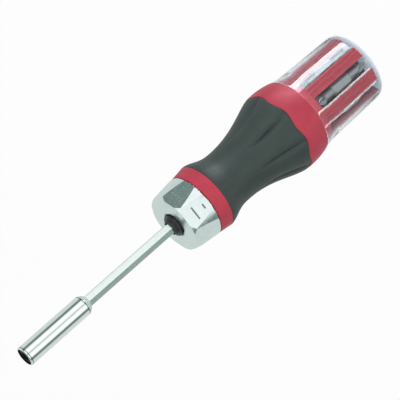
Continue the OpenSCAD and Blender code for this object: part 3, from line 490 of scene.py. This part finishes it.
for name, tone, metallic, roughness, edge in steel_detail:
    metal = keep(Finish(name, srgb(*tone), metallic, roughness))
    metal.edges(edge).mottle(2.5 * MM, srgb(*(0.95 * c for c in tone)), 0.5)
    metal.rough(0.8 * MM, roughness - 0.02, roughness + 0.04, (1, 1, 8))
    metal.bump(metal.noise(0.12 * MM, (1, 1, 12)), 0.006 * MM, 0.15)
    if name == "sleeve_steel":
        matt = metal.node("ShaderNodeMath", operation="MAXIMUM")
        metal.link(metal.shader.inputs["Roughness"].links[0].from_socket, matt.inputs[0])
        dull = metal.span(metal.along_axis(), CONE_ROUGHNESS, 0, Z_CONE - CONE_FADE, Z_CONE)
        metal.link(dull, matt.inputs[1])
        metal.link(matt.outputs[0], metal.shader.inputs["Roughness"])
        shine = metal.span(metal.along_axis(), CONE_METALLIC, 1, Z_CONE - CONE_FADE, Z_CONE)
        metal.link(shine, metal.shader.inputs["Metallic"])
        metal.within(metal.along_axis(), Z_CONE, Z_CONE + CONE_LINE_W, srgb(130, 145, 140))
        metal.within(metal.along_axis(), Z_TIP - TIP_LINE_FROM, Z_TIP - TIP_LINE_TO, srgb(150, 165, 160))
        # Painted shade: the steel inside the mouth is painted dark
        metal.within(metal.from_axis(), -1, MOUTH_R, srgb(72, 70, 68))
        metal.within(metal.along_axis(), Z_SLEEVE - BEYOND, Z_CONE, srgb(198, 213, 209))

for part in frame["record"]["subparts"]:
    mesh = frame["nodes"][part["node"]].data
    mesh.materials.clear()
    mesh.materials.append(FINISHES[part["material_slot"]])


def add_piece(obj, body, slot, *nodes):
    """A finished piece that rides on a body and stands for CAD nodes."""
    obj.data.materials.append(FINISHES[slot])
    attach(obj, body)
    if nodes:
        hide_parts(*nodes)
    return obj


# Rubber grip: crowned lobes with sharp creases between them, rounded lips at both ends
LOBE_STEPS = [0, 0.02, 0.045, 0.08, 0.12, 0.165, 0.215, 0.27, 0.34, 0.42, 0.5]
LOBE_STEPS += [1 - s for s in reversed(LOBE_STEPS[1:-1])]
GRIP_ANGLES = [
    FIRST_LOBE - LOBE_ANGLE / 2 + LOBE_ANGLE * (i + s) for i in range(LOBES) for s in LOBE_STEPS
]
GRIP_RINGS = 84
LINING_RINGS = 12
EDGE_PASSES = 3
LIP_R = 0.35 * MM


def grip_slice(a):
    edge = Z_PART
    for _ in range(EDGE_PASSES):
        r = grip_surface(a, edge)
        edge = parting_z(a, r) + LIP_GAP / 2
    inner_edge = parting_z(a, lining_surface(Z_PART)) + LIP_GAP / 2
    end = Z_RING - LIP_GAP
    start = edge + 2 * LIP_R
    stop = end - 2 * LIP_R
    heights = [start + (stop - start) * i / GRIP_RINGS for i in range(GRIP_RINGS + 1)]
    corners = [(lining_surface(Z_PART) + LINING_GAP, inner_edge, 0), (r, edge, LIP_R)]
    corners += [(grip_surface(a, z), z, 0) for z in heights]
    corners += [(GRIP_FRONT_R, end, LIP_R), (lining_surface(end) + LINING_GAP, end, 0)]
    rest = Z_PART + 2 * WAVE_H - end
    inside = [end + rest * i / LINING_RINGS for i in range(1, LINING_RINGS + 1)]
    corners += [(lining_surface(z) + LINING_GAP, z, 0) for z in inside]
    return rounded(corners)


add_piece(
    lathe("grip_skin", grip_slice, GRIP_ANGLES, sharp_angle=40),
    "handle", "grip_rubber", "rubber_grip",
)

# Red handle core: the shoulder with its wavy edge, the core under the rubber and the front ring
SEAM_ROUND = 0.4 * MM
RING_ROUND = 0.5 * MM
EDGE_ROUND = 0.25 * MM
EDGE_CLEAR = 0.6 * MM
RING_STEP = 0.1 * MM
SHOULDER_RINGS = 24
HOUSING_R = 9.4 * MM


def core_slice(a):
    edge = Z_PART
    for _ in range(EDGE_PASSES):
        edge = parting_z(a, shoulder_at(edge)) - LIP_GAP / 2
    rim = shoulder_at(edge)
    lining = lining_surface(Z_PART)
    spigot_z = Z_SEAM - CAP_SPIGOT_H
    corners = [
        (0, Z_SEAM, 0), (STORE_BASE_R, Z_SEAM, 0), (STORE_BASE_R, spigot_z, 0),
        (CAP_SPIGOT_R, spigot_z, 0.2 * MM), (CAP_SPIGOT_R, Z_SEAM, 0),
        (shoulder_at(Z_SEAM), Z_SEAM, SEAM_ROUND),
    ]
    low = Z_SEAM + 2 * SEAM_ROUND
    high = edge - EDGE_CLEAR
    heights = [low + (high - low) * i / SHOULDER_RINGS for i in range(SHOULDER_RINGS + 1)]
    corners += [(shoulder_at(z), z, 0) for z in heights]
    corners += [(rim, edge, EDGE_ROUND), (lining, parting_z(a, lining) - LIP_GAP / 2, 0)]
    start = Z_PART + WAVE_H
    inside = [start + (Z_RING - start) * i / LINING_RINGS for i in range(LINING_RINGS + 1)]
    corners += [(lining_surface(z), z, 0) for z in inside]
    corners += [
        (GRIP_FRONT_R - RING_STEP, Z_RING, 0.15 * MM), (RING_FRONT_R, Z_FRONT, RING_ROUND),
        (HOUSING_R, Z_FRONT, 0), (HOUSING_R, Z_HOUSE, 0), (0, Z_HOUSE, 0),
    ]
    return rounded(corners, closed=False)


add_piece(
    lathe("red_handle", core_slice, even_angles(256), poles=True, sharp_angle=40),
    "handle", "red_plastic", "handle_core",
)

# Clear cap: a turned cup that flares towards the handle
CAP_RIM_Z = Z_SEAM - 0.15 * MM
CAP_FLAT_R = STORE_R + 1.3 * MM
CAP_WALL = 1.0 * MM
CAP_IN_R = CAP_FLAT_R - CAP_WALL
CAP_FIT = 0.1 * MM
CAP_WIDENING = 0.95 * MM
CAP_FLARE = 1.0 * MM
CAP_FLARE_LEN = 11.2 * MM
CAP_FLOOR = 1.3 * MM
CAP_FOOT_ROUND = 1.1 * MM
CAP_LIP_ROUND = 0.3 * MM
CAP_SPIGOT_LEN = 4.1 * MM
CAP_RINGS = 30
CAP_WALL_LOW = 3 * MM
CAP_WALL_SPAN = CAP_RIM_Z - 4 * MM
CAP_FLARE_ROUND = 3 * MM
CAP_FLOOR_ROUND = 0.8 * MM
CAP_SPIGOT_ROUND = 1.0 * MM


def cap_out(z):
    """Radius of the cap's outside at height z."""
    flare = max(0.0, z - Z_SEAM + CAP_FLARE_LEN) / CAP_FLARE_LEN
    return CAP_FLAT_R + CAP_WIDENING * z / Z_SEAM + CAP_FLARE * flare ** 2


def cap_slice(a):
    heights = [CAP_WALL_LOW + CAP_WALL_SPAN * i / CAP_RINGS for i in range(CAP_RINGS + 1)]
    spigot_r = CAP_SPIGOT_R + CAP_FIT
    corners = [(0, 0, 0), (CAP_FLAT_R, 0, CAP_FOOT_ROUND)]
    corners += [(cap_out(z), z, 0) for z in heights]
    corners += [
        (cap_out(CAP_RIM_Z), CAP_RIM_Z, CAP_LIP_ROUND), (spigot_r, CAP_RIM_Z, CAP_LIP_ROUND),
        (spigot_r, Z_SEAM - CAP_SPIGOT_LEN, CAP_SPIGOT_ROUND),
        (CAP_IN_R, Z_SEAM - CAP_FLARE_LEN, CAP_FLARE_ROUND),
        (CAP_IN_R, CAP_FLOOR, CAP_FLOOR_ROUND), (0, CAP_FLOOR, 0),
    ]
    return rounded(corners, closed=False)


add_piece(
    lathe("clear_cap", cap_slice, even_angles(192), poles=True, sharp_angle=50),
    "cap", "clear_plastic", "storage_cap",
)

# Frosted disc inside the cap's floor, in the scene only: without it a black line shows round the flat
# end, probably from light caught between the floor's two faces
FROST_R = CAP_FLAT_R - 0.6 * MM
FROST_LOW = 0.15 * MM
FROST_HIGH = 0.35 * MM
frost = prism(
    "cap_end_frost", [(FROST_R * math.cos(a), FROST_R * math.sin(a)) for a in even_angles(128)],
    FROST_LOW, FROST_HIGH,
)
frost.data.materials.append(end_frost_painted_glow.mat)
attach(frost, "cap")

# Store of bits: ribs with two soft grooves each, between slots whose walls carry painted shade
HUB_R = -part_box("bit_1")[1].y
Z_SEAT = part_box("bit_1")[1].z
SLOT_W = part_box("bit_1")[1].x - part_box("bit_1")[0].x + 0.75 * MM
RIB_GROOVE_R = 1.0 * MM
RIB_GROOVE_DEPTH = 0.75 * MM
RIB_GROOVE_PITCH = 2.6 * MM
RIB_EDGE_R = 0.12 * MM
SCREW_POCKET_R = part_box("carousel_screw")[1].x + 0.3 * MM
STORE_RECESS = 3 * MM


def store_slice(a):
    floor = Z_RIBS + STORE_RECESS
    return rounded([
        (0, floor, 0), (SCREW_POCKET_R, floor, 0), (SCREW_POCKET_R, Z_RIBS, 0.2 * MM),
        (STORE_R, Z_RIBS, 0.5 * MM), (STORE_R, Z_SEAM - CAP_SPIGOT_H - 0.3 * MM, 0.1 * MM),
        (STORE_BASE_R, Z_SEAM - CAP_SPIGOT_H, 0), (STORE_BASE_R, Z_SEAM, 0), (0, Z_SEAM, 0),
    ], closed=False)


bit_store = lathe("bit_store", store_slice, even_angles(160), poles=True)
bit_store.data.materials.append(FINISHES["store_plastic"])
slot_cutters = []
groove_cutters = []
SLOT_OUTLINE = [(0, -SLOT_W / 2), (STORE_R, -SLOT_W / 2), (STORE_R, SLOT_W / 2), (0, SLOT_W / 2)]
GROOVE_OUTLINE = [(RIB_GROOVE_R * math.cos(a), RIB_GROOVE_R * math.sin(a)) for a in even_angles(20)]
for i in range(LOBES):
    middle = FIRST_LOBE + i * LOBE_ANGLE
    cutter = prism("slot_cut_%d" % i, turned(SLOT_OUTLINE, middle, HUB_R), Z_RIBS - BEYOND, Z_SEAT)
    # The slots' cut faces take the painted shade
    cutter.data.materials.append(slot_painted_shade.mat)
    slot_cutters.append(cutter)
    for side in (-1, 1):
        turn = middle + LOBE_ANGLE / 2 + side * math.asin(RIB_GROOVE_PITCH / 2 / STORE_R)
        outline = turned(GROOVE_OUTLINE, turn, STORE_R + RIB_GROOVE_R - RIB_GROOVE_DEPTH)
        cutter = prism("groove_cut_%d_%d" % (i, side + 1), outline, Z_RIBS - BEYOND, Z_SEAT)
        cutter.data.materials.append(FINISHES["store_plastic"])
        groove_cutters.append(cutter)
carve(bit_store, slot_cutters + groove_cutters, RIB_EDGE_R)
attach(bit_store, "handle")
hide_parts("bit_carousel")

# Paint in the collar's engraved marks: a long and a short one on each marked flat
COLLAR_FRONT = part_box("selector_collar")[1].z
FLAT_DEPTH = 1.887 * MM
FLAT_FRONT_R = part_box("selector_collar")[1].x - FLAT_DEPTH
FLAT_RISE = 1.9 * MM
FLAT_LEN = 13.4 * MM
FLAT_LEAN = math.atan2(FLAT_RISE, FLAT_LEN)
SHOULDER_CHAMFER = 1.9 * MM
MARKED_FLATS = (0, 1, 4, 5)
# Length of each mark, and its distance from the collar's face
MARKS = [(7.2 * MM, 6.2 * MM), (2.8 * MM, 11.8 * MM)]
MARK_W = 0.9 * MM
MARK_FLOOR = 0.3 * MM
PAINT_T = 0.25 * MM
PAINT_GAP = 0.02 * MM
# Depth under the flat and inset of each corner layer, from the mark's floor outwards
PAINT_LAYERS = (
    (MARK_FLOOR - PAINT_GAP, 0),
    (MARK_FLOOR - PAINT_T, 0),
    (MARK_FLOOR - PAINT_T - 0.02 * MM, 0.03 * MM),
)

verts = []
faces = []
for flat in MARKED_FLATS:
    place = Matrix.Rotation(FIRST_LOBE + flat * LOBE_ANGLE, 4, "Z")
    place = place @ Matrix.Translation((FLAT_FRONT_R, 0, COLLAR_FRONT - SHOULDER_CHAMFER))
    place = place @ Matrix.Rotation(-FLAT_LEAN, 4, "Y")
    for length, from_face in MARKS:
        first = len(verts)
        y, z = length / 2 - PAINT_GAP, MARK_W / 2 - PAINT_GAP
        middle = SHOULDER_CHAMFER - from_face
        for depth, inset in PAINT_LAYERS:
            for sy, sz in ((-1, -1), (1, -1), (1, 1), (-1, 1)):
                verts.append(place @ Vector((-depth, sy * (y - inset), middle + sz * (z - inset))))
        faces.append((first, first + 1, first + 2, first + 3))
        faces.append((first + 8, first + 9, first + 10, first + 11))
        for row in (0, 4):
            for i in range(4):
                k = (i + 1) % 4
                faces.append((first + row + i, first + row + k, first + row + 4 + k, first + row + 4 + i))
paint = finish_mesh("mark_paint", verts, faces, 30)
paint.data.materials.append(mark_paint.mat)
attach(paint, "selector")

# Floor, light and camera. VIEW points level from the tool to the camera's
# side, and SIDE to the picture's lower right.
VIEW = Vector((0.1564, -0.9877, 0))
CAMERA_SIDE = math.atan2(VIEW.y, VIEW.x)
SIDE = Vector((-0.9877, -0.1564, 0))
UP = Vector((0, 0, 1))
MIDDLE = Vector((0, 0, 0.13))


def add_stage(name, verts, faces, mat):
    """A piece of the studio, which isn't part of the tool."""
    mesh = bpy.data.meshes.new(name)
    mesh.from_pydata(verts, [], faces)
    obj = bpy.data.objects.new(name, mesh)
    bpy.context.scene.collection.objects.link(obj)
    mesh.materials.append(mat)
    return obj


def stage_material(name):
    """An empty node material for the studio, with its tree and output."""
    mat = bpy.data.materials.new(name)
    mat.use_nodes = True
    mat.node_tree.nodes.clear()
    return mat, mat.node_tree, mat.node_tree.nodes.new("ShaderNodeOutputMaterial")


def any_of(tree, *sockets):
    """1 where any of the given ray kinds applies."""
    value = sockets[0]
    for other in sockets[1:]:
        most = tree.nodes.new("ShaderNodeMath")
        most.operation = "MAXIMUM"
        tree.links.new(value, most.inputs[0])
        tree.links.new(other, most.inputs[1])
        value = most.outputs[0]
    return value


FLOOR_GLOW_SHARE = 0.96


def floor_material():
    """A white floor that keeps a soft shadow: mostly its own white to the camera, diffuse to the lamps."""
    mat, tree, out = stage_material("studio_floor")
    path = tree.nodes.new("ShaderNodeLightPath").outputs
    matt = tree.nodes.new("ShaderNodeBsdfDiffuse")
    matt.inputs["Color"].default_value = (0.9, 0.9, 0.9, 1)
    glow = tree.nodes.new("ShaderNodeEmission")
    both = tree.nodes.new("ShaderNodeMixShader")
    share = tree.nodes.new("ShaderNodeMath")
    share.operation = "MULTIPLY"
    share.inputs[1].default_value = FLOOR_GLOW_SHARE
    seen = any_of(tree, path["Is Camera Ray"], path["Is Glossy Ray"], path["Is Transmission Ray"])
    tree.links.new(seen, share.inputs[0])
    tree.links.new(share.outputs[0], both.inputs[0])
    tree.links.new(matt.outputs[0], both.inputs[1])
    tree.links.new(glow.outputs[0], both.inputs[2])
    tree.links.new(both.outputs[0], out.inputs["Surface"])
    return mat


# The floor lies just under the pulled-off cap, so that the cap shows in that pose too
FLOOR = 6.0
FLOOR_Z = -0.049
add_stage(
    "studio_floor",
    [(-FLOOR, -FLOOR, FLOOR_Z), (FLOOR, -FLOOR, FLOOR_Z), (FLOOR, FLOOR, FLOOR_Z), (-FLOOR, FLOOR, FLOOR_Z)],
    [(0, 1, 2, 3)],
    floor_material(),
)


def add_area(name, towards, distance, size, power):
    """A soft lamp in the given direction from the middle of the tool."""
    lamp = bpy.data.lights.new(name, "AREA")
    lamp.shape = "DISK"
    lamp.size = size
    lamp.energy = power
    obj = bpy.data.objects.new(name, lamp)
    bpy.context.scene.collection.objects.link(obj)
    where = MIDDLE + towards.normalized() * distance
    turn = (where - MIDDLE).to_track_quat("Z", "Y").to_matrix().to_4x4()
    obj.matrix_world = Matrix.Translation(where) @ turn
    obj.visible_glossy = False
    return obj


add_area("key_light", VIEW - SIDE * 0.6 + UP * 0.5, distance=1.2, size=0.7, power=6.3)
add_area("fill_light", VIEW + SIDE * 1.1 + UP * 0.4, distance=1.4, size=1.0, power=3.6)

# A ring of cards round the tool, seen only in its reflections: a plain tent, the same on both sides.
# Each pair is an angle in degrees from the camera's side and a brightness as a screen value: grey behind
# the camera, a white softbox to each side of it, a dark flag beyond that, and grey behind the tool.
CARDS = [(0, 190), (15, 250), (45, 250), (60, 120), (75, 120), (90, 210), (180, 210)]
CARD_GLOW = 1.1
# How far red and blue lie under green, as a share of how dark a card is
CARD_COOLNESS = 0.13
CARD_GREENNESS = 0.02
CARD_R = 0.15
CARD_LOW = 0.001
CARD_TOP = 0.5
CARD_SIDES = 96
# The floor's card is a flat ring, between these shares of the ring's radius. It is dark towards the
# camera, so that the clear cap has no veil.
FLOOR_CARD = 0.98
FLOOR_CARD_HOLE = 0.143
FLOOR_CARD_Z = 0.0003
FLOOR_CARDS = [(0, 40), (80, 40), (110, 220), (180, 220)]


def seen_in_gloss_only(obj):
    obj.visible_camera = False
    obj.visible_diffuse = False
    obj.visible_transmission = False
    obj.visible_shadow = False


def glow_material(name, strength):
    """A material that only glows, with its tree and emission node."""
    mat, tree, out = stage_material(name)
    glow = tree.nodes.new("ShaderNodeEmission")
    glow.inputs["Strength"].default_value = strength
    tree.links.new(glow.outputs[0], out.inputs["Surface"])
    return mat, tree, glow


def angle_around(tree):
    """Angle round the object's own axis, from 0 to 1, with its +X at 0.5."""
    coords = tree.nodes.new("ShaderNodeTexCoord")
    around = tree.nodes.new("ShaderNodeTexGradient")
    around.gradient_type = "RADIAL"
    tree.links.new(coords.outputs["Object"], around.inputs[0])
    return around.outputs["Fac"]


def cards_ramp(tree, cards):
    """Colour by angle, blended from one (degrees, level) pair to the next, alike on both sides."""
    cards = [(-angle, value) for angle, value in reversed(cards)] + cards[1:]
    ramp = tree.nodes.new("ShaderNodeValToRGB")
    stops = ramp.color_ramp.elements
    while len(stops) < len(cards):
        stops.new(0.5)
    for stop, (angle, value) in zip(stops, cards):
        stop.position = angle / 360 + 0.5
        dark = 255 - value
        stop.color = srgb(value - CARD_COOLNESS * dark, value, value - CARD_GREENNESS * dark)
    tree.links.new(angle_around(tree), ramp.inputs[0])
    return ramp.outputs[0]


ring = [(CARD_R * math.cos(a), CARD_R * math.sin(a)) for a in even_angles(CARD_SIDES)]
band = [
    (i, (i + 1) % CARD_SIDES, (i + 1) % CARD_SIDES + CARD_SIDES, i + CARD_SIDES)
    for i in range(CARD_SIDES)
]
mat, tree, glow = glow_material("reflector_cards", CARD_GLOW)
tree.links.new(cards_ramp(tree, CARDS), glow.inputs["Color"])
cards = add_stage(
    "reflector_cards",
    [(x, y, z) for z in (CARD_LOW, CARD_TOP) for x, y in ring],
    band,
    mat,
)
cards.rotation_euler.z = CAMERA_SIDE
seen_in_gloss_only(cards)
mat, _, glow = glow_material("top_card", 1.0)
glow.inputs["Color"].default_value = srgb(96, 110, 106)
seen_in_gloss_only(add_stage("top_card", [(x, y, CARD_TOP) for x, y in ring], [range(CARD_SIDES)], mat))
mat, tree, glow = glow_material("floor_card", 1.0)
tree.links.new(cards_ramp(tree, FLOOR_CARDS), glow.inputs["Color"])
floor_card = add_stage(
    "floor_card",
    [(x * share, y * share, FLOOR_CARD_Z) for share in (FLOOR_CARD, FLOOR_CARD_HOLE) for x, y in ring],
    band,
    mat,
)
floor_card.rotation_euler.z = CAMERA_SIDE
seen_in_gloss_only(floor_card)

# Light strips on the floor round the cap, seen only in reflections. Each gives the clear wall a streak
# of glare between two angles (degrees from the camera's side, positive to the picture's upper left).
# Name, the two angles, strength and colour.
GLARES = [
    ("glare_wide", 25, 33, 7, (0.82, 0.88, 1, 1)),
    ("glare_bright", 33, 40, 11, (0.92, 0.95, 1, 1)),
    ("glare_warm", 40, 44, 10, (1, 0.97, 0.96, 1)),
    ("glare_line", -19.4, -16.8, 10, (1, 0.98, 0.96, 1)),
    ("glare_edge", -43.5, -40.5, 6, (1, 0.85, 0.85, 1)),
]
GLARE_FROM = 0.006
GLARE_TO = 0.092
GLARE_Z = 0.0005


def glare_edge(angle):
    """Start and end on the floor of the reflections that leave the cap's wall at this angle."""
    turn = CAMERA_SIDE + math.radians(angle)
    foot = Vector((math.cos(turn), math.sin(turn), 0)) * (CAP_FLAT_R + CAP_WIDENING / 2)
    away = Vector((math.cos(turn + math.radians(angle)), math.sin(turn + math.radians(angle)), 0))
    lift = Vector((0, 0, GLARE_Z))
    return foot + away * GLARE_FROM + lift, foot + away * GLARE_TO + lift


for name, low, high, strength, colour in GLARES:
    mat, _, glow = glow_material(name, strength)
    glow.inputs["Color"].default_value = colour
    (a, b), (c, d) = glare_edge(low), glare_edge(high)
    seen_in_gloss_only(add_stage(name, [a, b, d, c], [(0, 1, 2, 3)], mat))

# World: a soft light, and plain white wherever it is seen
SOFT_STRENGTH = 0.5
world = bpy.data.worlds.new("studio_world")
bpy.context.scene.world = world
world.use_nodes = True
tree = world.node_tree
tree.nodes.clear()
out = tree.nodes.new("ShaderNodeOutputWorld")
path = tree.nodes.new("ShaderNodeLightPath").outputs
soft = tree.nodes.new("ShaderNodeBackground")
soft.inputs["Color"].default_value = (0.95, 0.97, 1.0, 1)
soft.inputs["Strength"].default_value = SOFT_STRENGTH
white = tree.nodes.new("ShaderNodeBackground")
white.inputs["Strength"].default_value = 1.0
both = tree.nodes.new("ShaderNodeMixShader")
seen = any_of(tree, path["Is Camera Ray"], path["Is Glossy Ray"], path["Is Transmission Ray"])
tree.links.new(seen, both.inputs[0])
tree.links.new(soft.outputs[0], both.inputs[1])
tree.links.new(white.outputs[0], both.inputs[2])
tree.links.new(both.outputs[0], out.inputs["Surface"])

# Camera, fitted to the photo's outline
camera_data = bpy.data.cameras.new("camera")
camera_data.lens = 182.1
camera_data.sensor_width = 36
camera_data.clip_start = 0.01
camera = bpy.data.objects.new("camera", camera_data)
bpy.context.scene.collection.objects.link(camera)
camera.matrix_world = Matrix((
    (-0.60863, 0.78023, 0.14450, 0.149030),
    (-0.38715, -0.13311, -0.91233, -0.935765),
    (-0.69260, -0.61120, 0.38300, 0.509611),
    (0, 0, 0, 1),
))
bpy.context.scene.camera = camera
bpy.context.scene.view_settings.view_transform = "Standard"
